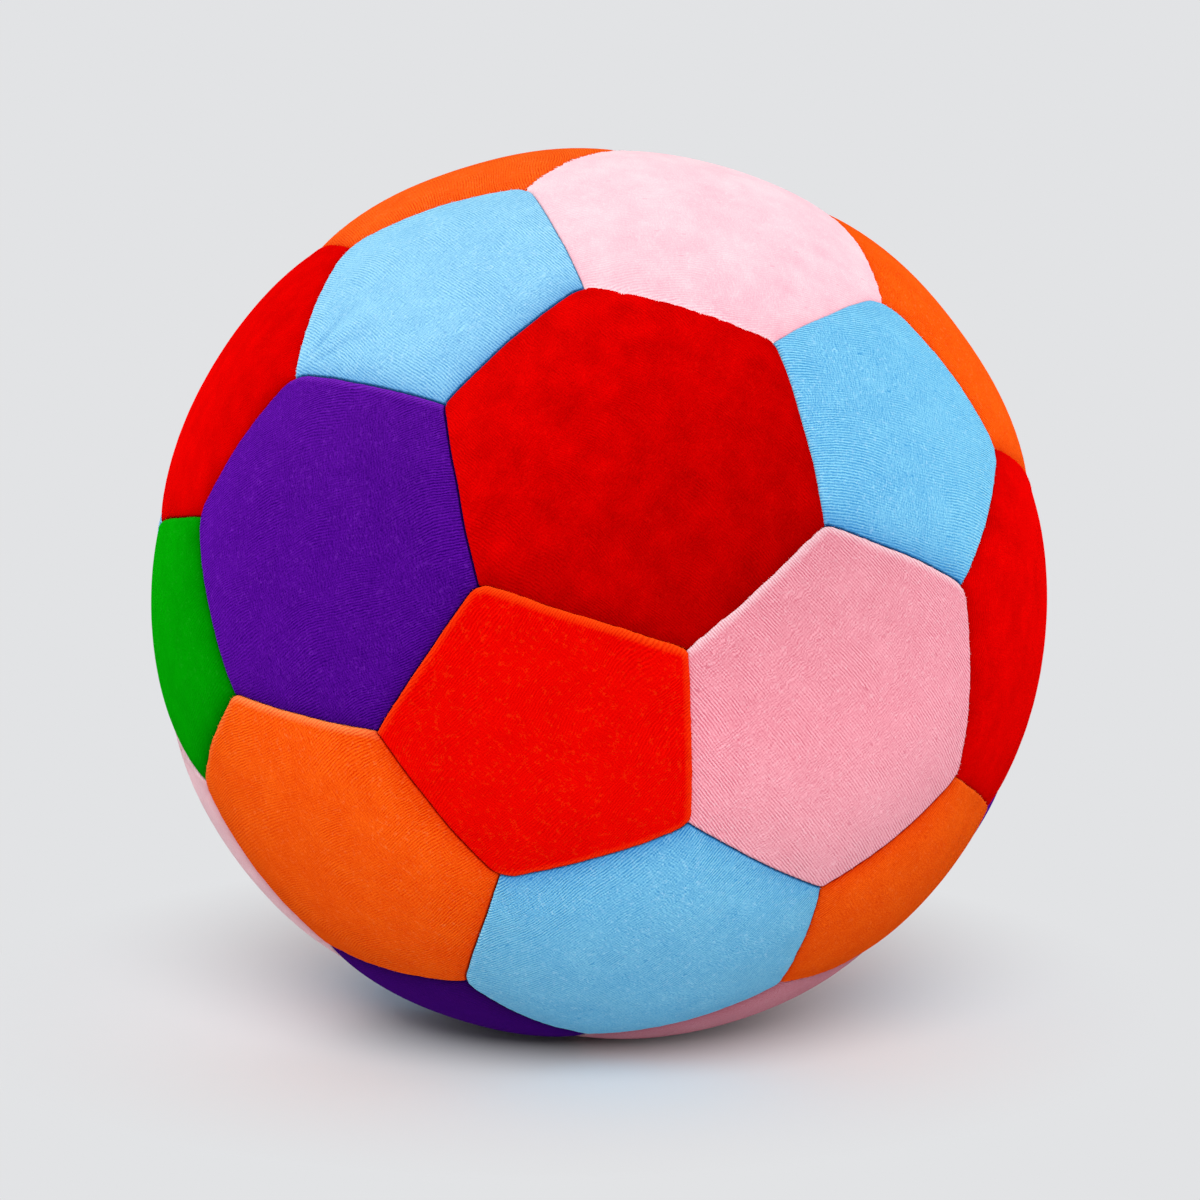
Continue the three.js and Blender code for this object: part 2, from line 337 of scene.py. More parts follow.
def skin_corner(patch, k):
    """A patch's quarter at one corner: from its middle to the corner, and to half of either side."""
    count = len(patch.edge)
    half = np.linspace(0, SIDE_STEPS // 2, SKIN_STEPS + 1).astype(int)
    corner = k * SIDE_STEPS
    arriving = patch.edge[(corner - half[::-1]) % count]
    leaving = patch.edge[(corner + half[::-1]) % count]
    u, v = np.meshgrid(*[np.linspace(0, 1, SKIN_STEPS + 1)] * 2, indexing="ij")
    u, v = u[..., None], v[..., None]
    steps = np.linspace(0, 1, SKIN_STEPS + 1)[:, None]
    low = between(patch.middle, arriving[0], steps)
    left = between(patch.middle, leaving[0], steps)
    ruled = (1 - v) * low[:, None] + v * leaving[:, None] + (1 - u) * left[None] + u * arriving[None]
    flat = (1 - u) * (1 - v) * patch.middle + u * (1 - v) * arriving[0]
    flat += (1 - u) * v * leaving[0] + u * v * leaving[-1]
    return unit(ruled - flat)


def ring_faces(first, next_first, count):
    """Quads between two rings of as many points."""
    here = np.arange(count)
    after = (here + 1) % count
    return np.stack((first + here, next_first + here, next_first + after, first + after), 1)


def fan_faces(middle, first, count, outwards=True):
    here = np.arange(count)
    after = (here + 1) % count
    order = (here, after) if outwards else (after, here)
    return np.stack((np.full(count, middle), first + order[0], first + order[1]), 1)


def mesh_object(name, points, face_lists):
    mesh = bpy.data.meshes.new(name)
    faces = [face for faces in face_lists for face in np.asarray(faces).tolist()]
    mesh.from_pydata(np.asarray(points).tolist(), [], faces)
    mesh.polygons.foreach_set("use_smooth", [True] * len(mesh.polygons))
    piece = bpy.data.objects.new(name, mesh)
    bpy.context.scene.collection.objects.link(piece)
    return piece


def welded(points, face_lists):
    """Points that lie on each other become one."""
    rounded = np.round(points / SAME_PLACE).astype(int)
    _, kept, places = np.unique(rounded, axis=0, return_index=True, return_inverse=True)
    places = places.reshape(-1)
    return points[kept], [places[faces] for faces in face_lists], places


def inflated_skin():
    points = []
    faces = []
    seam_points = []
    wide = SKIN_STEPS + 1
    here = np.arange(wide * wide).reshape(wide, wide)
    quads = np.stack((here[:-1, :-1], here[1:, :-1], here[1:, 1:], here[:-1, 1:]), -1).reshape(-1, 4)
    for patch in patches:
        for k in range(len(patch.corners)):
            first = sum(map(len, points))
            corner = skin_corner(patch, k) * (BALL_RADIUS - SKIN_START)
            corner[-1] *= (BALL_RADIUS - SEAM_SINK) / (BALL_RADIUS - SKIN_START)
            corner[:-1, -1] *= (BALL_RADIUS - SEAM_SINK) / (BALL_RADIUS - SKIN_START)
            seam_points += [first + here[-1], first + here[:, -1]]
            points.append(corner.reshape(-1, 3))
            faces.append(quads + first)
    points, faces, places = welded(np.concatenate(points), faces)
    skin = mesh_object("stuffed_skin", points, faces)
    held = skin.vertex_groups.new(name="seams")
    held.add(np.unique(places[np.concatenate(seam_points)]).tolist(), 1, "REPLACE")
    cloth = skin.modifiers.new("filling", "CLOTH")
    cloth.settings.quality = 6
    cloth.settings.mass = SKIN_MASS
    cloth.settings.vertex_group_mass = held.name
    cloth.settings.use_pressure = True
    cloth.settings.uniform_pressure_force = FILL_PRESSURE
    cloth.settings.effector_weights.gravity = 0
    cloth.point_cache.frame_end = FILL_FRAMES
    smooth = skin.modifiers.new("smooth", "SUBSURF")
    smooth.levels = 2
    scene = bpy.context.scene
    for step in range(1, FILL_FRAMES + 1):
        scene.frame_set(step)
    settled = skin.evaluated_get(bpy.context.evaluated_depsgraph_get())
    mesh = settled.to_mesh()
    tree = BVHTree.FromPolygons([v.co for v in mesh.vertices], [p.vertices for p in mesh.polygons])
    settled.to_mesh_clear()
    bpy.data.objects.remove(skin)
    scene.frame_set(1)
    return tree


skin = inflated_skin()


def crown_radius(directions, from_seam):
    """The cover's distance from the ball's middle, before the seams' creases."""
    if skin is None:
        return BALL_RADIUS - SEAM_SINK * np.exp(-from_seam / QUICK_SLOPE)
    middle = Vector((0, 0, 0))
    found = [skin.ray_cast(middle, Vector(direction))[3] for direction in directions]
    return np.clip(found, BALL_RADIUS - 2 * SEAM_SINK, BALL_RADIUS + MOST_SWELL)


# The ball's own weight presses its underside in, and the whole wall behind a point moves with it.
PRESSED_IN = 2.5 * MM
REST_FLAT_DEPTH = 0.5 * MM
MIDDLE_HEIGHT = BALL_RADIUS - PRESSED_IN - REST_FLAT_DEPTH


def pressed(directions, radius):
    height = BALL_RADIUS * (1 + directions[:, 2])
    lift = np.hypot(height, PRESSED_IN) - height
    points = directions * np.reshape(radius, (-1, 1))
    points[:, 2] = np.maximum(points[:, 2] + MIDDLE_HEIGHT + lift, 0)
    return points


# The red velour patches.
# Four hexagons and two pentagons of plain red velour with a short, dense pile. Each is one closed
# skin: over its crown, down the allowance that is turned in at the seams, and back underneath.
FABRIC_THICKNESS = 1.5 * MM
ALLOWANCE_DEPTH = 5.2 * MM
SHOULDER_DROP = 0.2 * MM
SHOULDER_REACH = 1.4 * MM
NOSE_DROP = 0.95 * MM
NOSE_WIDTH = 0.75 * MM
TUCKED_DROP = 1.1 * MM
TUCKED_WIDTH = 0.65 * MM
SEAM_RADIUS = BALL_RADIUS - 1.3 * MM
FOOT_RADIUS = SEAM_RADIUS - ALLOWANCE_DEPTH
EDGE_INSETS = [0.05, 0.1, 0.18, 0.28, 0.42, 0.58, 0.8, 1.05, 1.4, 1.9, 2.6, 3.6, 4.8, 6.5]
CROWN_RINGS = 11
WAIST_INSET = 0.6 * MM
FOOT_INSET = 1.25 * MM
INNER_SHARES = [0.75, 0.4]
PROUD_REACH = 1.7 * MM
LAP_REACH = 0.9 * MM
LAP_END = 3 * MM
RAGGED = 0.8
RAGGED_LENGTH = 1.8 * MM
# Painted light at the seams: the rim's paleness, partly painted highlight, the painted shade on the lower
# patch beside a proud edge, full at FULL_PROUD, and the painted shade in a crease.
RIM_WIDTH = 0.1 * MM
RIM_FADE = 1.9 * MM
SEAM_SHADE_REACH = 2.8 * MM
FULL_PROUD = 0.23
CREASE_REACH = 0.5 * MM
LEAST_DEPTH = 0.15
PUCKER_HEIGHT = 0.13 * MM
PUCKER_LENGTH = 2.1 * MM
PUCKER_REACH = 3.4 * MM
PUCKERS_APART = 50
TAUT_REACH = 6 * MM
PATCHES_APART = (0.37, 0.53)

# Both allowances of a seam lie under one of its patches. That patch's edge stands a little proud,
# rolls over the seam and hides the other's. A line has the upper patch and the lower one, how far
# the edge stands up, which also sets the painted shade on the lower patch, and reaches over, in
# millimetres, how pale its rim is, from 0 to 1, partly paler pile and partly painted highlight, how deep
# the crease is and how much painted shade it gets, up to 2, and its stray hairs of pile in a millimetre.
SEAM_EDGES = [
    ("hexagon_pink_2", "hexagon_red_1", 0.2, 0.3, 1, 0, 1.5),
    ("pentagon_orange_red_1", "hexagon_red_1", 0.2, 0.25, 1, 0.7, 1.5),
    ("hexagon_pink_1", "hexagon_red_1", 0.03, 0.6, 0.4, 0, 5),
    ("hexagon_red_1", "hexagon_purple_1", 0.05, 0, 0, 1, 0),
    ("hexagon_red_1", "pentagon_light_blue_1", 0.2, 0.1, 0, 1.6, 0.3),
    ("pentagon_light_blue_2", "hexagon_red_1", 0.13, 0.1, 0.2, 1.2, 1),
    ("hexagon_purple_1", "pentagon_light_blue_1", 0.2, 0.1, 0.8, 1.6, 0.5),
    ("hexagon_pink_2", "pentagon_light_blue_2", 0.23, 0.15, 1, 1.6, 1),
    ("pentagon_orange_red_1", "hexagon_pink_2", 0.07, 0.1, 0.5, 0.15, 1),
    ("pentagon_orange_red_1", "hexagon_orange_3", 0.2, 0, 0, 1, 0.3),
    ("pentagon_orange_red_1", "hexagon_light_blue_1", 0.23, 0.2, 0.5, 1, 1.5),
    ("pentagon_orange_red_1", "hexagon_purple_1", 0.16, 0.1, 0.6, 1, 1),
    ("hexagon_orange_3", "hexagon_purple_1", 0.2, 0.1, 1, 0.6, 2.5),
    ("hexagon_pink_2", "hexagon_light_blue_1", 0.16, 0.05, 0.2, 1.2, 0.6),
    ("hexagon_light_blue_1", "hexagon_orange_3", 0.16, 0, 0.2, 1.2, 0.3),
    ("hexagon_light_blue_1", "pentagon_purple_1", 0.2, 0.1, 0.2, 0.6, 0.3),
    ("hexagon_light_blue_1", "hexagon_pink_4", 0.26, 0.1, 0.1, 0.6, 0.3),
    ("hexagon_light_blue_1", "pentagon_orange_1", 0.13, 0.05, 0.1, 0.7, 0.5),
    ("hexagon_orange_3", "pentagon_purple_1", 0.2, 0.1, 0.1, 0.5, 0.5),
    ("hexagon_orange_3", "pentagon_green_1", 0.29, 0.2, 0.5, 0.6, 1),
    ("hexagon_orange_3", "hexagon_pink_5", 0.26, 0.2, 0.3, 0.3, 0.5),
    ("hexagon_purple_1", "hexagon_red_3", 0.2, 0.1, 0.2, 0.5, 0.5),
    ("hexagon_purple_1", "pentagon_green_1", 0.2, 0.1, 0, 0.6, 0.5),
    ("pentagon_green_1", "hexagon_red_3", 0.26, 0.1, 0.2, 1, 1),
    ("pentagon_light_blue_1", "hexagon_red_3", 0.13, 0.2, 0.3, 0.3, 1),
    ("pentagon_light_blue_1", "hexagon_orange_1", 0.1, 0.2, 0.1, 0.1, 1),
    ("hexagon_pink_1", "pentagon_light_blue_1", 0.02, 0.05, 0, 1.2, 0.3),
    ("hexagon_pink_1", "hexagon_orange_1", 0.1, 0.2, 0.2, 0, 2),
    ("hexagon_red_3", "hexagon_orange_1", 0.2, 0.15, 0.1, 0.4, 1),
    ("pentagon_light_blue_2", "hexagon_pink_1", 0.1, 0.1, 0.1, 0.35, 1),
    ("hexagon_pink_1", "hexagon_orange_2", 0.1, 0.2, 0.1, 0.1, 1),
    ("hexagon_pink_1", "pentagon_red_1", 0.33, 0.3, 0.2, 0, 1),
    ("pentagon_light_blue_2", "hexagon_orange_2", 0.13, 0.15, 0.1, 0.3, 1),
    ("pentagon_light_blue_2", "hexagon_red_2", 0.13, 0.15, 0.1, 0.4, 1),
    ("hexagon_red_2", "hexagon_orange_2", 0.55, 0.2, 0, 0.3, 1),
    ("hexagon_pink_2", "hexagon_red_2", 0.2, 0.2, 0.2, 0, 1),
    ("hexagon_pink_2", "pentagon_orange_1", 0.2, 0, 0.1, 1.2, 0.6),
    ("pentagon_orange_1", "hexagon_red_2", 0.13, 0.1, 0.1, 0.4, 1),
]
HIDDEN_PROUD = (0.07, 0.25)
HIDDEN_LAP = (0, 0.25)
HIDDEN_SHADE = (0.1, 0.8)
HIDDEN_HAIRS = (0.3, 2)

for seam in seams:
    seam.upper = chance.choice(seam.patches)
    seam.proud = chance.uniform(*HIDDEN_PROUD)
    seam.lap = chance.uniform(*HIDDEN_LAP) * MM
    seam.rim = chance.uniform(*HIDDEN_SHADE)
    seam.crease = chance.uniform(*HIDDEN_SHADE)
    seam.hairs = chance.uniform(*HIDDEN_HAIRS)
for upper, lower, proud, lap, rim, crease, hairs in SEAM_EDGES:
    seam = next(s for s in seams if {p.name for p in s.patches} == {upper, lower})
    seam.upper = next(p for p in seam.patches if p.name == upper)
    seam.proud = proud
    seam.lap = lap * MM
    seam.rim = rim
    seam.crease = crease
    seam.hairs = hairs


def from_line(points, line):
    """The distance of each direction from a seam, across the ball's surface."""
    start = line[:-1]
    step = line[1:] - start
    towards = points[:, None] - start
    share = np.einsum("pli,li->pl", towards, step) / np.einsum("li,li->l", step, step)
    off = towards - np.clip(share, 0, 1)[..., None] * step
    return np.sqrt((off**2).sum(2).min(1)) * BALL_RADIUS


def across(directions, at):
    """The distance of each direction from a point, across the ball's surface."""
    return BALL_RADIUS * np.arccos(np.clip(directions @ at, -1, 1))


def rounded_drop(distance, depth, width):
    """How far a quarter-round edge has dropped at a distance from where it ends."""
    nearness = 1 - np.clip(distance / width, 0, 1)
    return depth * (1 - np.sqrt(1 - nearness**2))


def rolled_over(patch, directions, distances):
    """The directions of a patch, moved over those seams where its edge hides the other one."""
    moved = directions.copy()
    swing = [noise.noise(Vector(d) * (BALL_RADIUS / RAGGED_LENGTH)) for d in directions]
    ragged = 1 + RAGGED * np.array(swing)
    for seam, distance in zip(patch.seams, distances):
        if seam.upper is patch:
            first, last = seam.ends
            wall = unit(np.cross(first.sharp, last.sharp))
            outwards = -wall * np.sign(wall @ patch.middle)
            from_ends = np.minimum(across(directions, first.at), across(directions, last.at))
            lap = seam.lap * ragged * np.exp(-((distance / LAP_REACH) ** 2))
            lap *= np.clip(from_ends / LAP_END, 0, 1)
            moved += np.outer(lap / BALL_RADIUS, outwards)
    return unit(moved)


def cloth_axes(patch, grain):
    """Across and along the ribs: grain is their angle from the right, as seen from outside."""
    up = unit(np.array((0, 0, 1)) - patch.middle * patch.middle[2])
    right = np.cross(up, patch.middle)
    angle = math.radians(grain)
    along = right * math.cos(angle) + up * math.sin(angle)
    return np.cross(patch.middle, along), along


def flat_places(patch, directions, grain):
    """Where each direction lies on the flat cloth, across and along its ribs."""
    axes = np.array(cloth_axes(patch, grain))
    flat = directions @ axes.T
    angle = np.arccos(np.clip(directions @ patch.middle, -1, 1))
    size = np.maximum(np.linalg.norm(flat, axis=1), 1e-9)
    return flat * (angle / size)[:, None] * BALL_RADIUS


# Single hairs of pile stand out over the edges. Each is a thin three-sided spike that leans up and
# along the edge by a drawn share. Those of the brushed patch are whole tufts that lie flat.
HAIR_LENGTH = (0.2, 0.6)
HAIR_ROOT = (0.04, 0.08)
HAIR_LEAN = ((0.3, -0.7), (1.3, 0.7))
HAIR_TURN = math.tau / 3
ASKEW = (0.3, 0.5, 0.8)
BRUSHED_PATCH = "hexagon_pink_1"
BRUSHED_HAIRS = 2
BRUSHED_LEAN = 0.3
hair_chance = np.random.default_rng(32)


def edge_hairs(patch, outer, inner):
    """The corners of the hairs on a patch's upper edges, four for each, between its last two rings."""
    count = len(outer)
    roots = []
    ahead = []
    for k, seam in enumerate(patch.seams):
        if seam.upper is patch:
            length = across(seam.ends[0].at[None], seam.ends[1].at)[0]
            many = int(length / MM * seam.hairs)
            at = (k + hair_chance.random(many)) * SIDE_STEPS
            here = at.astype(int) % count
            after = (here + 1) % count
            part = (at - at.astype(int))[:, None]
            edge = outer[here] * (1 - part) + outer[after] * part
            inside = inner[here] * (1 - part) + inner[after] * part
            roots.append(edge + (inside - edge) * hair_chance.random((many, 1)))
            out = unit(edge - inside)
            up = unit(edge - np.array((0, 0, MIDDLE_HEIGHT)))
            along = unit(outer[after] - outer[here])
            lean = hair_chance.uniform(*HAIR_LEAN, (many, 2))
            if patch.name == BRUSHED_PATCH:
                lean[:, 0] *= BRUSHED_LEAN
            ahead.append(unit(out + up * lean[:, :1] + along * lean[:, 1:]))
    if not roots:
        return np.zeros((0, 3))
    root = np.concatenate(roots)
    ahead = np.concatenate(ahead)
    side = unit(np.cross(ahead, ASKEW))
    third = np.cross(ahead, side)
    growth = BRUSHED_HAIRS * MM if patch.name == BRUSHED_PATCH else MM
    thick = hair_chance.uniform(*HAIR_ROOT, (len(root), 1)) * growth
    length = hair_chance.uniform(*HAIR_LENGTH, (len(root), 1)) * growth
    corners = [root + ahead * length]
    for turn in range(3):
        angle = turn * HAIR_TURN
        corners.append(root - ahead * thick + thick * (side * math.cos(angle) + third * math.sin(angle)))
    points = np.stack(corners, 1).reshape(-1, 3)
    points[:, 2] = np.maximum(points[:, 2], 0)
    return points


def hair_faces(first, hair_points):
    tips = first + np.arange(0, hair_points, 4)
    sides = [(tips, tips + k, tips + k % 3 + 1) for k in (1, 2, 3)]
    return [np.stack(side, 1) for side in [*sides, (tips + 3, tips + 2, tips + 1)]]


# A fold's hollow gets painted shade, as dark as a seam's, when it is this deep.
FOLD_SHADE = 0.7 * MM


def patch_piece(patch, grain, lay, folds=None):
    count = len(patch.edge)
    reach = across(patch.edge, patch.middle).mean()
    top_shares = [1 - inset * MM / reach for inset in EDGE_INSETS]
    top_shares += [top_shares[-1] * k / CROWN_RINGS for k in range(CROWN_RINGS - 1, 0, -1)]
    top = [patch.middle[None]] + [between(patch.middle, patch.edge, s) for s in reversed(top_shares)]
    directions = np.concatenate(top)
    distances = [from_line(directions, seam.line) for seam in patch.seams]
    from_seam = np.min(distances, axis=0)

    radius = crown_radius(directions, from_seam) - SHOULDER_DROP * np.exp(-from_seam / SHOULDER_REACH)
    drop = np.zeros(len(directions))
    # Next: the rim's paleness, partly painted highlight, painted shade on the lower patch beside a proud
    # edge and in fold hollows, and painted shade in the crease.
    rim = np.zeros(len(directions))
    painted_shade = np.zeros(len(directions))
    crease = np.zeros(len(directions))
    for seam, distance in zip(patch.seams, distances):
        proud = seam.proud * MM * np.exp(-distance / PROUD_REACH)
        share = min(seam.proud / FULL_PROUD, 1)
        depth = LEAST_DEPTH + (1 - LEAST_DEPTH) * min(seam.crease, 1)
        if seam.upper is patch:
            radius += proud
            drop = np.maximum(drop, rounded_drop(distance, NOSE_DROP * depth, NOSE_WIDTH))
            rim = np.maximum(rim, seam.rim * np.clip(1 - (distance - RIM_WIDTH) / RIM_FADE, 0, 1))
            darkened = CREASE_REACH * (seam.crease - 1) / 2
        else:
            radius -= proud
            drop = np.maximum(drop, rounded_drop(distance, TUCKED_DROP * depth, TUCKED_WIDTH))
            # The lower patch gets painted shade beside the proud edge.
            painted_shade = np.maximum(painted_shade, share * np.exp(-distance / (SEAM_SHADE_REACH * share)))
            darkened = CREASE_REACH * seam.crease
        if darkened > 0:
            crease = np.maximum(crease, 1 - distance / darkened)
    radius -= drop
    run = np.linalg.norm(np.diff(patch.edge, axis=0, append=patch.edge[:1]), axis=1).cumsum()
    place = Vector(patch.middle) * PUCKERS_APART
    puckers = [noise.noise(place + Vector((s * BALL_RADIUS / PUCKER_LENGTH, 0, 0))) for s in run]
    fade = np.exp(-from_seam / PUCKER_REACH)
    radius[1:] += PUCKER_HEIGHT * np.tile(puckers, len(top_shares)) * fade[1:]
    if folds:
        rise = folds(patch, directions)
        radius += rise
        # A fold's hollow gets painted shade.
        painted_shade = np.maximum(painted_shade, -rise / FOLD_SHADE)

    waist = between(patch.middle, patch.edge, 1 - WAIST_INSET / reach)
    foot = between(patch.middle, patch.edge, 1 - FOOT_INSET / reach)
    inner = between(patch.middle, patch.edge, 1 - (FOOT_INSET + FABRIC_THICKNESS) / reach)
    inside = BALL_RADIUS - FABRIC_THICKNESS - SEAM_SINK / 2
    rings = [(waist, (SEAM_RADIUS + FOOT_RADIUS) / 2), (foot, FOOT_RADIUS), (inner, FOOT_RADIUS)]
    rings.append((inner, SEAM_RADIUS - FABRIC_THICKNESS))
    rings += [(between(patch.middle, inner, share), inside) for share in INNER_SHARES]
    crown = pressed(rolled_over(patch, directions, distances), radius)
    hairs = edge_hairs(patch, crown[-count:], crown[-4 * count : -3 * count])
    points = [crown]
    points += [pressed(ring, np.full(count, ring_radius)) for ring, ring_radius in rings]
    points += [pressed(patch.middle[None], np.array([inside])), hairs]

    faces = [fan_faces(0, 1, count)]
    ring_count = len(top_shares) + len(rings)
    faces += [ring_faces(1 + k * count, 1 + (k + 1) * count, count) for k in range(ring_count - 1)]
    last = 1 + ring_count * count
    faces.append(fan_faces(last, last - count, count, False))
    faces += hair_faces(last + 1, len(hairs))
    piece = mesh_object(f"{patch.name}_velour", np.concatenate(points), faces)

    hair_ends = unit(hairs - (0, 0, MIDDLE_HEIGHT)) if len(hairs) else hairs
    everywhere = np.concatenate([directions, *[ring for ring, _ in rings], patch.middle[None], hair_ends])
    own_place = (patches.index(patch) + 1) * np.array(PATCHES_APART)
    flat = flat_places(patch, everywhere, grain) + own_place
    cloth = np.column_stack((flat, np.full(len(flat), own_place[0])))
    hidden = np.zeros(len(everywhere) - len(directions) - len(hairs))
    on_hairs = np.ones(len(hairs))
    store(piece, "cloth", "FLOAT_VECTOR", cloth)
    store(piece, "rim", "FLOAT", np.concatenate((rim, hidden, on_hairs)))
    store(piece, "painted_shade", "FLOAT", np.concatenate((painted_shade, hidden, 0 * on_hairs)))
    store(piece, "crease", "FLOAT", np.concatenate((crease, hidden, 0 * on_hairs)))
    store(piece, "taut", "FLOAT", np.concatenate((np.exp(-from_seam / TAUT_REACH), hidden, on_hairs)))
    store(piece, "lay", "FLOAT", pile_lay_and_painted_light(patch, everywhere, reach, *lay))
    declare_patch(piece, patch, flat_places(patch, patch.edge, grain))
    return piece


def pile_lay_and_painted_light(patch, directions, reach, pale=0, change=0, towards=0):
    """How much paler or darker a patch is painted than its colour, and how that changes towards an angle:
    painted light and shade, partly the lay of its pile.
    """
    _, along = cloth_axes(patch, towards)
    return pale + change * (directions @ along) * BALL_RADIUS / reach


def store(piece, name, kind, values):
    attribute = piece.data.attributes.new(name, kind, "POINT")
    field = "vector" if kind == "FLOAT_VECTOR" else "value"
    attribute.data.foreach_set(field, np.asarray(values, np.float32).ravel())


def declare_patch(piece, patch, outline):
    """Hangs the piece on the root body and hides the patch's own part. It also works out the size that the
    patch was cut to, allowances included, but does not keep it.
    """
    following = np.roll(outline, -1, axis=0)
    inside = abs(outline[:, 0] @ following[:, 1] - outline[:, 1] @ following[:, 0]) / 2
    around = np.linalg.norm(following - outline, axis=1).sum()
    area = inside + around * ALLOWANCE_DEPTH
    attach(piece, "root")
    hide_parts(patch.name)


class Socket:
    """An output in a material's nodes. Sums and products with it add Math nodes."""

    def __init__(self, finish, output):
        self.finish = finish
        self.output = output

    def maths(self, operation, *values, limit=False):
        settings = {"operation": operation, "use_clamp": limit}
        return self.finish.add("ShaderNodeMath", settings, dict(enumerate(values)))

    def __add__(self, other):
        return self.maths("ADD", self, other)

    def __radd__(self, other):
        return self.maths("ADD", other, self)

    def __sub__(self, other):
        return self.maths("SUBTRACT", self, other)

    def __rsub__(self, other):
        return self.maths("SUBTRACT", other, self)

    def __mul__(self, other):
        return self.maths("MULTIPLY", self, other)

    def __rmul__(self, other):
        return self.maths("MULTIPLY", other, self)

    def __gt__(self, other):
        return self.maths("GREATER_THAN", self, other)

    def __lt__(self, other):
        return self.maths("LESS_THAN", self, other)

    def wave(self):
        """The cosine of a phase that runs from 0 to 1."""
        turned = self * math.tau
        return turned.maths("COSINE", turned)

    def limited(self):
        """The value, kept between 0 and 1."""
        return self.maths("ADD", self, 0, limit=True)

    def line_at(self, value, width):
        """1 where this equals a value, falling to 0 at a width to either side: a thin line."""
        off = self - value
        return (1 - off.maths("ABSOLUTE", off) * (1 / width)).limited()


class Finish:
    """A material or a sky, made node by node."""

    def __init__(self, name, world=None):
        self.owner = world or bpy.data.materials.new(name)
        self.owner.use_nodes = True
        self.tree = self.owner.node_tree
        self.tree.nodes.clear()

    def add(self, kind, settings=None, sockets=None, take=0):
        """Adds a node of a type, with its settings and its sockets' values or links."""
        node = self.tree.nodes.new(kind)
        for name, value in (settings or {}).items():
            setattr(node, name, value)
        for key, value in (sockets or {}).items():
            if isinstance(value, Socket):
                self.tree.links.new(value.output, node.inputs[key])
            else:
                node.inputs[key].default_value = value
        return Socket(self, node.outputs[take])

    def attribute(self, name, take="Fac"):
        return self.add("ShaderNodeAttribute", {"attribute_name": name}, take=take)

    def noise(self, place, size, detail=2, roughness=0.5):
        sockets = {"Vector": place, "Scale": 1 / size, "Detail": detail, "Roughness": roughness}
        return self.add("ShaderNodeTexNoise", {}, sockets)

    def mix(self, share, first, second, blend="MIX"):
        settings = {"data_type": "RGBA", "blend_type": blend}
        return self.add("ShaderNodeMix", settings, {0: share, 6: first, 7: second}, 2)

    def vector(self, operation, first, second):
        """Vector Math on two vectors, or on a vector and a scale."""
        second_socket = "Scale" if operation == "SCALE" else 1
        return self.add("ShaderNodeVectorMath", {"operation": operation}, {0: first, second_socket: second})

    def finish(self, shader, output="ShaderNodeOutputMaterial"):
        surface = self.tree.nodes.new(output).inputs["Surface"]
        self.tree.links.new(shader.output, surface)
        return self.owner


def colour(red, green, blue):
    """A colour as it is seen, from 0 to 255, in the linear numbers that a material takes."""
    seen = np.array((red, green, blue)) / 255
    linear = np.where(seen < 0.04045, seen / 12.92, ((seen + 0.055) / 1.055) ** 2.4)
    return (*linear.tolist(), 1)


RIB_PITCH = 0.6 * MM
BEND_SIZE = 24 * MM
BEND_REACH = 7 * MM
CRIMP_SIZE = 1.3 * MM
CRIMP_REACH = 0.5 * MM
SWIRL_SIZE = 1.6 * MM
SWIRL_REACH = 1.9 * MM
SWIRL_PITCH = 0.66 * MM
BARE_SIZE = 12 * MM
BREAK_SIZE = 0.7 * MM
CLOUD_SIZE = 7 * MM
PILE_SIZE = 0.34 * MM
CURL_SIZE = 0.8 * MM
CURL_WIDTH = 0.07
CURLS_APART = 1.2 * MM
CROWD_SIZE = 9 * MM
SPECK_SPACING = 2.6 * MM
SPECK_RADIUS = 0.085
SPECK_CROWD_SIZE = 5 * MM
BROKEN_LENGTHS = (1, 0.35, 1)
PILE_RELIEF = 0.04 * MM
# How strong the painted shade beside a proud edge and in a crease is, and how pale the rim is, which is
# partly painted highlight.
SEAM_SHADE_STRENGTH = 0.7
CREASE_SHADE = 0.5
RIM_PALENESS = 0.75


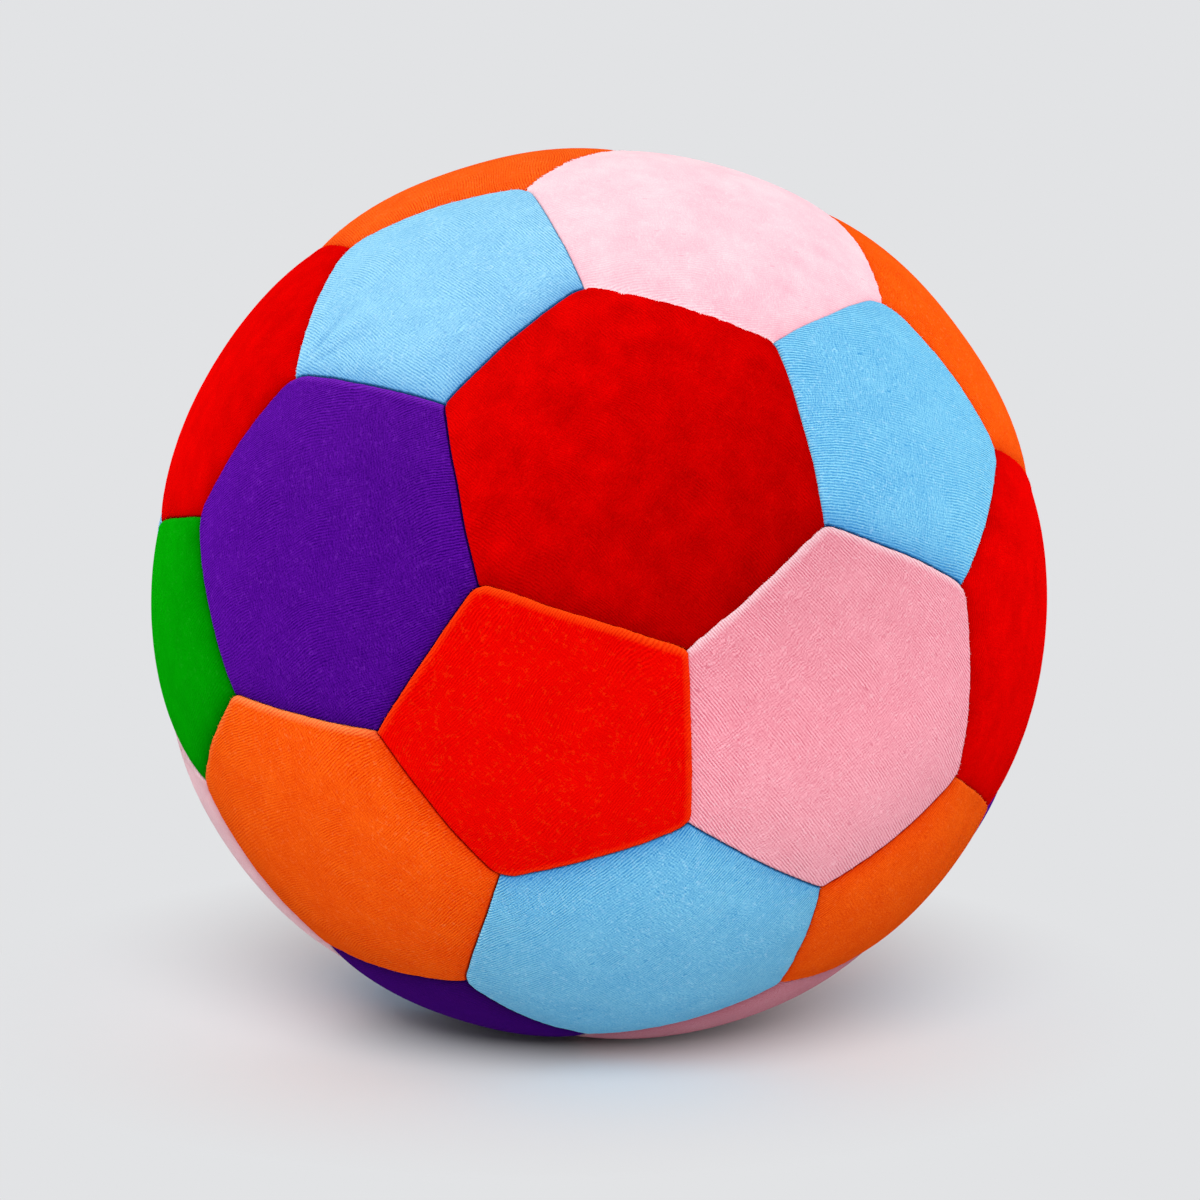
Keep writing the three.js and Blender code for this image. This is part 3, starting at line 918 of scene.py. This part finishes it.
def velour(name, deep, face, tip, tint, ribs=0.5, bend=1, clouds=0.3, nap=0.3, curls=0.3, pits=0.3):
    """Short knitted pile. Fine ribs run along it, straight or in slow bends, and show in places.
    It is deep between the ribs, face on them, and tip where the pile stands at an edge or curls.
    Painted light: the rim goes towards tip, partly as painted highlight, the lay makes it paler or darker
    as painted light and shade, and deep is multiplied in as painted shade in creases, beside proud edges
    and in fold hollows."""
    finish = Finish(name)
    cloth = finish.attribute("cloth", "Vector")
    across_ribs = finish.add("ShaderNodeSeparateXYZ", {}, {0: cloth}, 0)
    along_ribs = finish.add("ShaderNodeSeparateXYZ", {}, {0: cloth}, 1)
    slow = (finish.noise(cloth, BEND_SIZE, 1) - 0.5) * (BEND_REACH * bend)
    crimp = (finish.noise(cloth, CRIMP_SIZE, 1) - 0.5) * (CRIMP_REACH * (0.4 + bend * 0.6))
    rib = ((across_ribs + slow + crimp) * (1 / RIB_PITCH)).wave()
    swirled = (finish.noise(cloth, SWIRL_SIZE, 1) - 0.5) * SWIRL_REACH
    swirl = ((along_ribs + swirled) * (1 / SWIRL_PITCH)).wave()
    taut = finish.attribute("taut")
    bare = (finish.noise(cloth, BARE_SIZE, 2) * 5 - 1.8 - taut * 1.1).limited()
    runs = finish.vector("MULTIPLY", cloth, BROKEN_LENGTHS)
    broken = (finish.noise(runs, BREAK_SIZE, 1) * 3.4 - 1.1).limited()
    cloud = finish.noise(cloth, CLOUD_SIZE, 4, 0.6)
    tuft = finish.noise(cloth, PILE_SIZE, 2, 0.6)
    shown = rib * (1 - bare * 0.75) + swirl * (0.15 + bare * 0.4)
    relief = shown * (0.25 + broken * 0.75) * (0.9 + taut * 0.5)
    tone = (0.5 + relief * (0.5 * ribs) + (cloud - 0.5) * clouds + (tuft - 0.5) * nap).limited()
    body = finish.mix(tone, deep, face)
    fibre = finish.noise(cloth, CURL_SIZE, 1).line_at(0.5, CURL_WIDTH)
    apart = (finish.noise(cloth, CURLS_APART, 1) * 7 - 3.7).limited()
    crowded = 0.7 + (finish.noise(cloth, CROWD_SIZE, 1) * 4 - 1.5).limited() * 0.3
    curl = fibre * apart * crowded
    curled = finish.mix(curl * curls, body, tip)
    speck = finish.add("ShaderNodeTexVoronoi", {}, {"Vector": runs, "Scale": 1 / SPECK_SPACING})
    rare = finish.noise(cloth, SPECK_CROWD_SIZE, 0) > 0.5
    pitted = finish.mix((speck < SPECK_RADIUS) * rare * pits, curled, deep)
    # The rim is painted paler: partly the ends of standing pile, partly painted highlight.
    pile_tips_and_highlight = finish.attribute("rim") * (0.8 + rib * 0.3 + tuft * 0.4) + (tuft - 0.5) * 0.3 - 0.1
    edged = finish.mix(pile_tips_and_highlight.limited() * RIM_PALENESS, pitted, tip)
    # The lay paints a patch paler towards tip, or darker further down: painted light and shade, partly the
    # lay of its pile.
    lay = finish.attribute("lay")
    with_lay_and_painted_light = finish.mix((lay * (0.6 + tone * 0.8)).limited(), edged, tip)
    # Painted shade in the seam's crease, ragged with the pile.
    painted_crease_shade = (finish.attribute("crease") * 2.5 + (tuft - 0.5) * 2 + rib * 0.25 - 0.6).limited()
    # Painted shade beside a proud edge and in fold hollows: the colour is multiplied by its deep colour.
    in_painted_shade = finish.mix(finish.attribute("painted_shade") * SEAM_SHADE_STRENGTH, with_lay_and_painted_light, deep, "MULTIPLY")
    crease_shaded = finish.mix(painted_crease_shade, in_painted_shade, deep, "MULTIPLY")
    # Painted shade: a patch with a negative lay is darkened, and the crease darker still.
    shade = (1 + lay.maths("MINIMUM", lay, 0)) * (1 - painted_crease_shade * CREASE_SHADE)
    seen = finish.vector("SCALE", crease_shaded, shade)
    height = relief * ribs + (tuft - 0.5) * 1.5 + (cloud - 0.5) * 2
    bump = finish.add("ShaderNodeBump", {}, {"Strength": 1, "Distance": PILE_RELIEF, "Height": height})
    shader = finish.add("ShaderNodeBsdfPrincipled", {}, {
        "Base Color": seen,
        "Roughness": 0.9 + (cloud - 0.5) * 0.2,
        "Diffuse Roughness": 1,
        "Specular IOR Level": 0,
        "Sheen Weight": 0.5,
        "Sheen Roughness": 0.5,
        "Sheen Tint": tint,
        "Normal": bump,
    })
    return finish.finish(shader)


def sew(material, grains_lays_and_painted_light, folds=None):
    """Makes the patches of one cloth. Each has the angle of its ribs, and then how much paler or darker it
    is painted: painted light and shade, partly the lay of its pile.
    """
    for name, (grain, *lay) in grains_lays_and_painted_light.items():
        patch = next(p for p in patches if p.name == name)
        piece = patch_piece(patch, grain, lay, folds)
        piece.data.materials.append(material)


red_velour = velour(
    "red_velour",
    deep=colour(176, 0, 0),
    face=colour(238, 1, 1),
    tip=colour(255, 24, 12),
    tint=colour(255, 10, 6),
    ribs=0.4,
    bend=1.5,
    clouds=1,
    nap=0.95,
    curls=0.25,
    pits=0.4,
)
# The middle red hexagon is painted darker, and paler towards its upper left, where the light comes from:
# painted light and shade.
sew(red_velour, {
    "hexagon_red_1": (-40, -0.08, 0.2, 135),
    "hexagon_red_2": (70,),
    "hexagon_red_3": (50,),
    "hexagon_red_4": (20,),
    "pentagon_red_1": (0,),
    "pentagon_red_2": (-65,),
})


# The pink velour patches.
# Six hexagons of pale pink velour, whose ribs show more than on the red. The nap of the top one
# has been rubbed up, so it hides its ribs and is paler, which is partly painted sheen, as it faces the
# light.
pink_velour = velour(
    "pink_velour",
    deep=colour(222, 122, 142),
    face=colour(252, 186, 199),
    tip=colour(255, 236, 240),
    tint=colour(255, 170, 186),
    ribs=1.2,
    bend=0.35,
    clouds=0.35,
    nap=0.8,
    curls=0.3,
    pits=0.8,
)
brushed_and_sheen_pink_velour = velour(
    "brushed_and_sheen_pink_velour",
    deep=colour(250, 170, 190),
    face=colour(255, 224, 229),
    tip=colour(255, 242, 244),
    tint=colour(255, 210, 220),
    ribs=0.4,
    bend=1,
    clouds=1,
    nap=0.9,
    curls=0.4,
    pits=0.8,
)
# The top pink hexagon has its own paler cloth, partly painted sheen, and is painted paler still towards its
# top: painted light.
sew(brushed_and_sheen_pink_velour, {"hexagon_pink_1": (-20, 0.15, 0.2, 90)})
# The lowest pink hexagon is painted darker as painted shade, the lower left one paler as painted highlight,
# and the front one a little paler towards its lower edge.
sew(pink_velour, {
    "hexagon_pink_2": (-48, 0, 0.12, -90),
    "hexagon_pink_3": (10,),
    "hexagon_pink_4": (35, -0.35),
    "hexagon_pink_5": (-50, 0.8),
    "hexagon_pink_6": (80,),
})


# The light blue velour patches.
# Three pentagons and three hexagons of light blue velour, whose ribs are broken by paler curls and
# darker pits. The top left pentagon is pulled into short folds at its lower left corner, whose hollows get
# painted shade.
FOLD_HEIGHT = 0.5 * MM
FOLD_START = 4 * MM
FOLD_END = 23 * MM
FOLD_ANGLE = math.radians(30)
FOLD_SPREAD = math.radians(40)


def corner_folds(patch, directions):
    if patch.name != "pentagon_light_blue_1":
        return np.zeros(len(directions))
    pulled = find_corner(corners, patch.name, "hexagon_purple_1", "hexagon_red_3").at
    inwards = tangent(pulled, patch.middle)
    side = np.cross(pulled, inwards)
    angle = np.arctan2(directions @ side, directions @ inwards)
    away = np.arccos(np.clip(directions @ pulled, -1, 1)) * BALL_RADIUS
    rise = np.clip((away - FOLD_START) / FOLD_START, 0, 1)
    fall = np.clip((FOLD_END - away) / (FOLD_END - 2 * FOLD_START), 0, 1)
    ridges = np.cos(angle * math.tau / FOLD_ANGLE) * np.clip(1 - abs(angle) / FOLD_SPREAD, 0, 1)
    return FOLD_HEIGHT * ridges * rise * fall


light_blue_velour = velour(
    "light_blue_velour",
    deep=colour(68, 158, 214),
    face=colour(148, 219, 242),
    tip=colour(206, 242, 255),
    tint=colour(120, 205, 245),
    ribs=1.1,
    bend=0.6,
    clouds=0.45,
    nap=1.15,
    curls=0.45,
    pits=0.9,
)
# The top left pentagon is painted paler, as painted sheen where it faces the light.
sew(light_blue_velour, {
    "pentagon_light_blue_1": (-25, 0.25),
    "pentagon_light_blue_2": (-18,),
    "pentagon_light_blue_3": (40,),
    "hexagon_light_blue_1": (50,),
    "hexagon_light_blue_2": (-75,),
    "hexagon_light_blue_3": (15,),
}, corner_folds)


# The orange velour patches.
# Four hexagons and two pentagons of orange velour, mottled, with paler ends of pile at the edges, partly
# painted highlight.
orange_velour = velour(
    "orange_velour",
    deep=colour(226, 52, 0),
    face=colour(255, 114, 22),
    tip=colour(255, 160, 90),
    tint=colour(255, 90, 24),
    ribs=0.8,
    bend=0.8,
    clouds=0.55,
    nap=1.1,
    curls=0.3,
    pits=0.3,
)
# The top orange hexagon is painted a little paler, as painted light where it faces the lamp.
sew(orange_velour, {
    "hexagon_orange_1": (20, 0.05),
    "hexagon_orange_2": (-60,),
    "hexagon_orange_3": (29,),
    "hexagon_orange_4": (-10,),
    "pentagon_orange_1": (60,),
    "pentagon_orange_2": (85,),
})


# The orange-red velour patch.
# One pentagon of a redder orange, with fine pale ends of pile all over and an orange rim, which is partly
# painted highlight.
orange_red_velour = velour(
    "orange_red_velour",
    deep=colour(214, 0, 0),
    face=colour(243, 9, 1),
    tip=colour(255, 92, 20),
    tint=colour(255, 30, 8),
    ribs=0.85,
    bend=1.5,
    clouds=0.6,
    nap=1,
    curls=0.2,
    pits=0.2,
)
sew(orange_red_velour, {"pentagon_orange_red_1": (50,)})


# The purple velour patches.
# Three hexagons and one pentagon of deep purple velour, whose ribs swirl in pale violet lines.
purple_velour = velour(
    "purple_velour",
    deep=colour(46, 0, 108),
    face=colour(102, 18, 170),
    tip=colour(140, 48, 204),
    tint=colour(110, 30, 190),
    ribs=0.95,
    bend=1,
    clouds=0.35,
    nap=1,
    curls=0.35,
    pits=0.4,
)
# The front purple hexagon is painted paler towards its top, as painted light, and the pentagon underneath
# darker, as painted shade.
sew(purple_velour, {
    "hexagon_purple_1": (25, 0, 0.06, 90),
    "hexagon_purple_2": (-35,),
    "hexagon_purple_3": (75,),
    "pentagon_purple_1": (0, -0.68),
})


# The green velour patches.
# Three pentagons of bright green velour.
green_velour = velour(
    "green_velour",
    deep=colour(0, 118, 0),
    face=colour(2, 165, 4),
    tip=colour(50, 196, 50),
    tint=colour(10, 160, 10),
    ribs=0.3,
    bend=1,
    clouds=0.6,
    nap=0.5,
    curls=0.2,
    pits=0.3,
)
sew(green_velour, {
    "pentagon_green_1": (45,),
    "pentagon_green_2": (-20,),
    "pentagon_green_3": (10,),
})


# The sewing thread.
# One polyester thread runs along every seam, deep between the two allowances that it holds
# together. Its plies are twisted, and it dips at each stitch.
THREAD_RADIUS = 0.26 * MM
THREAD_LEVEL = SEAM_RADIUS - ALLOWANCE_DEPTH / 2
STITCH_LENGTH = 3 * MM
STITCH_DIP = 0.2 * MM
THREAD_SIDES = 6
PLY_SIZE = 0.4 * MM
PLY_RELIEF = 0.05 * MM


def thread_run(seam, first):
    """A closed tube along one seam, whose points start at number first."""
    line = seam.line
    run = np.linalg.norm(np.diff(line, axis=0, prepend=line[:1]), axis=1).cumsum() * BALL_RADIUS
    level = THREAD_LEVEL + STITCH_DIP * np.cos(run * math.tau / STITCH_LENGTH)
    ahead = unit(np.gradient(line, axis=0))
    beside = np.cross(line, ahead)
    centres = pressed(line, level)
    rings = []
    for side in range(THREAD_SIDES):
        angle = math.tau * side / THREAD_SIDES
        rings.append(centres + THREAD_RADIUS * (beside * math.cos(angle) + line * math.sin(angle)))
    points = np.stack(rings, 1).reshape(-1, 3)
    starts = range(first, first + len(points) - THREAD_SIDES, THREAD_SIDES)
    faces = [ring_faces(start, start + THREAD_SIDES, THREAD_SIDES) for start in starts]
    section = np.arange(THREAD_SIDES)
    ends = [section + first, section[::-1] + starts[-1] + THREAD_SIDES]
    return points, faces, ends


def thread_piece():
    points = []
    faces = []
    for seam in seams:
        run, sides, ends = thread_run(seam, sum(map(len, points)))
        points.append(run)
        faces += [*sides, [ends[0]], [ends[1]]]
    return mesh_object("sewing_thread", np.concatenate(points), faces)


thread_finish = Finish("sewing_thread")
thread_place = thread_finish.add("ShaderNodeTexCoord", take="Object")
ply = thread_finish.noise(thread_place, PLY_SIZE, 2)
thread_shade = thread_finish.mix(ply, colour(52, 48, 48), colour(104, 98, 98))
ply_relief = {"Strength": 0.6, "Distance": PLY_RELIEF, "Height": ply}
ply_bump = thread_finish.add("ShaderNodeBump", {}, ply_relief)
thread_shader = thread_finish.add("ShaderNodeBsdfPrincipled", {}, {
    "Base Color": thread_shade,
    "Roughness": 0.55 + ply * 0.2,
    "Normal": ply_bump,
})
thread = thread_piece()
thread.data.materials.append(thread_finish.finish(thread_shader))
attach(thread, "root")
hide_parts("seam_thread")


# The stuffing.
# One ball of loose polyester fibrefill. It swells into a lump under every patch and leaves a
# groove along each seam, where the allowances stand.
LUMP_ROOM = 0.4 * MM
GROOVE_INSET = FOOT_INSET + FABRIC_THICKNESS + LUMP_ROOM
GROOVE_RADIUS = FOOT_RADIUS - LUMP_ROOM
STUFFING_STRIDE = 3
STUFFING_SHARES = [0.12, 0.26, 0.4, 0.54, 0.68, 0.8, 0.9, 1]
TUFT_DEPTH = 0.7 * MM
TUFT_SIZE = 5 * MM
FIBRE_SIZE = 0.8 * MM
FIBRE_STRETCH = (1, 0.3, 1)
FIBRE_RELIEF = 0.4 * MM


def fibre_level(directions, level):
    """Loose fibre lies unevenly, so the lump dips in places and never rises above its level."""
    dips = [noise.noise(Vector(d) * (BALL_RADIUS / TUFT_SIZE)) for d in directions]
    return level - TUFT_DEPTH * np.clip(0.5 + np.array(dips), 0, 1)


def stuffing_piece():
    lump = BALL_RADIUS - FABRIC_THICKNESS - SEAM_SINK - LUMP_ROOM
    points = []
    faces = []
    for patch in patches:
        edge = patch.edge[::STUFFING_STRIDE]
        count = len(edge)
        reach = BALL_RADIUS * np.arccos(np.clip(edge @ patch.middle, -1, 1)).mean()
        rim = between(patch.middle, edge, 1 - GROOVE_INSET / reach)
        first = sum(map(len, points))
        rings = [between(patch.middle, rim, share) for share in STUFFING_SHARES]
        crown = np.concatenate([patch.middle[None], *rings])
        points.append(pressed(crown, fibre_level(crown, lump)))
        points.append(pressed(rim, np.full(count, GROOVE_RADIUS)))
        points.append(pressed(edge, np.full(count, GROOVE_RADIUS)))
        faces.append(fan_faces(first, first + 1, count))
        for k in range(len(rings) + 1):
            faces.append(ring_faces(first + 1 + k * count, first + 1 + (k + 1) * count, count))
    points, faces, _ = welded(np.concatenate(points), faces)
    return mesh_object("fibrefill_ball", points, faces)


fibre_finish = Finish("fibrefill")
fibre_place = fibre_finish.add("ShaderNodeTexCoord", take="Object")
fibre_runs = fibre_finish.vector("MULTIPLY", fibre_place, FIBRE_STRETCH)
fibres = fibre_finish.noise(fibre_runs, FIBRE_SIZE, 5, 0.7)
fibre_shade = fibre_finish.mix(fibres, colour(214, 210, 200), colour(250, 248, 243))
fibre_relief = {"Strength": 1, "Distance": FIBRE_RELIEF, "Height": fibres}
fibre_bump = fibre_finish.add("ShaderNodeBump", {}, fibre_relief)
fibre_shader = fibre_finish.add("ShaderNodeBsdfPrincipled", {}, {
    "Base Color": fibre_shade,
    "Roughness": 0.85 + fibres * 0.15,
    "Sheen Weight": 0.4,
    "Normal": fibre_bump,
})
stuffing = stuffing_piece()
stuffing.data.materials.append(fibre_finish.finish(fibre_shader))
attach(stuffing, "root")
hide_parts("stuffing")


# The floor, the light and the camera.
# A plain pale floor under even studio light: a large soft lamp above and in front, weaker ones low
# in front and behind the ball, and pale walls all round. The floor glows more the further it is
# from the ball, so the shadow stays close.
FLOOR_SIZE = 60
FLOOR_DROP = 0.05 * MM
FLOOR_COLOUR = (0.81, 0.817, 0.832, 1)
SHADOW_MIDDLE = (-0.1 * BALL_RADIUS, 0.16 * BALL_RADIUS, 0)
SHADOW_RADIUS = 0.4 * BALL_RADIUS
SHADOW_FADE = BALL_RADIUS
BACKGROUND = colour(226, 227, 229)
SKY_STRENGTH = 0.33

# A lamp's strength, its spread, and how far it stands in front of straight above, in degrees.
LAMPS = {
    "front_lamp": (2.35, 35, 50),
    "low_lamp": (0.2, 60, 84),
    "back_lamp": (0.5, 80, -65),
    "low_back_lamp": (0.7, 50, -88),
}

floor_finish = Finish("floor")
floor_place = floor_finish.add("ShaderNodeTexCoord", take="Object")
from_ball = {0: floor_place, 1: SHADOW_MIDDLE}
away = floor_finish.add("ShaderNodeVectorMath", {"operation": "DISTANCE"}, from_ball, "Value")
clear = ((away - SHADOW_RADIUS) * (1 / SHADOW_FADE)).limited()
in_view = floor_finish.add("ShaderNodeLightPath", take="Is Camera Ray")
lit = floor_finish.add("ShaderNodeBsdfDiffuse", {}, {"Color": FLOOR_COLOUR})
glow = floor_finish.add("ShaderNodeEmission", {}, {"Color": BACKGROUND, "Strength": 1})
floor_shader = floor_finish.add("ShaderNodeMixShader", {}, {"Fac": clear * in_view, 1: lit, 2: glow})
half_floor = FLOOR_SIZE / 2
floor_sides = ((-1, -1), (1, -1), (1, 1), (-1, 1))
floor_corners = [(x * half_floor, y * half_floor, -FLOOR_DROP) for x, y in floor_sides]
floor = mesh_object("floor", floor_corners, [[[0, 1, 2, 3]]])
floor.data.materials.append(floor_finish.finish(floor_shader))

studio = Finish("studio", bpy.data.worlds.new("studio"))
walls = studio.add("ShaderNodeBackground", {}, {"Color": (1, 1, 1, 1), "Strength": SKY_STRENGTH})
backdrop = studio.add("ShaderNodeBackground", {}, {"Color": BACKGROUND, "Strength": 1})
looked_at = studio.add("ShaderNodeLightPath", take="Is Camera Ray")
surroundings = studio.add("ShaderNodeMixShader", {}, {"Fac": looked_at, 1: walls, 2: backdrop})
bpy.context.scene.world = studio.finish(surroundings, "ShaderNodeOutputWorld")

for name, (strength, spread, tilt) in LAMPS.items():
    lamp = bpy.data.lights.new(name, "SUN")
    lamp.energy = strength
    lamp.angle = math.radians(spread)
    lamp_object = bpy.data.objects.new(name, lamp)
    lamp_object.rotation_euler = (math.radians(tilt), 0, 0)
    bpy.context.scene.collection.objects.link(lamp_object)

CAMERA_HEIGHT_ANGLE = 9.5
CAMERA_DISTANCE = 9 * BALL_RADIUS
CAMERA_LENS = 119.7
AIM_RIGHT = 0.34 * MM
AIM_DOWN = 1.13 * MM

angle = math.radians(CAMERA_HEIGHT_ANGLE)
back = Vector((0, -math.cos(angle), math.sin(angle)))
upright = Vector((0, math.sin(angle), math.cos(angle)))
ball_middle = Vector((0, 0, MIDDLE_HEIGHT))
aim = ball_middle + Vector((AIM_RIGHT, 0, 0)) - upright * AIM_DOWN
camera = bpy.data.objects.new("camera", bpy.data.cameras.new("camera"))
camera.data.lens = CAMERA_LENS
camera.location = ball_middle + back * CAMERA_DISTANCE
camera.rotation_euler = (aim - camera.location).to_track_quat("-Z", "Y").to_euler()
bpy.context.scene.collection.objects.link(camera)
bpy.context.scene.camera = camera
bpy.context.scene.view_settings.view_transform = "Standard"
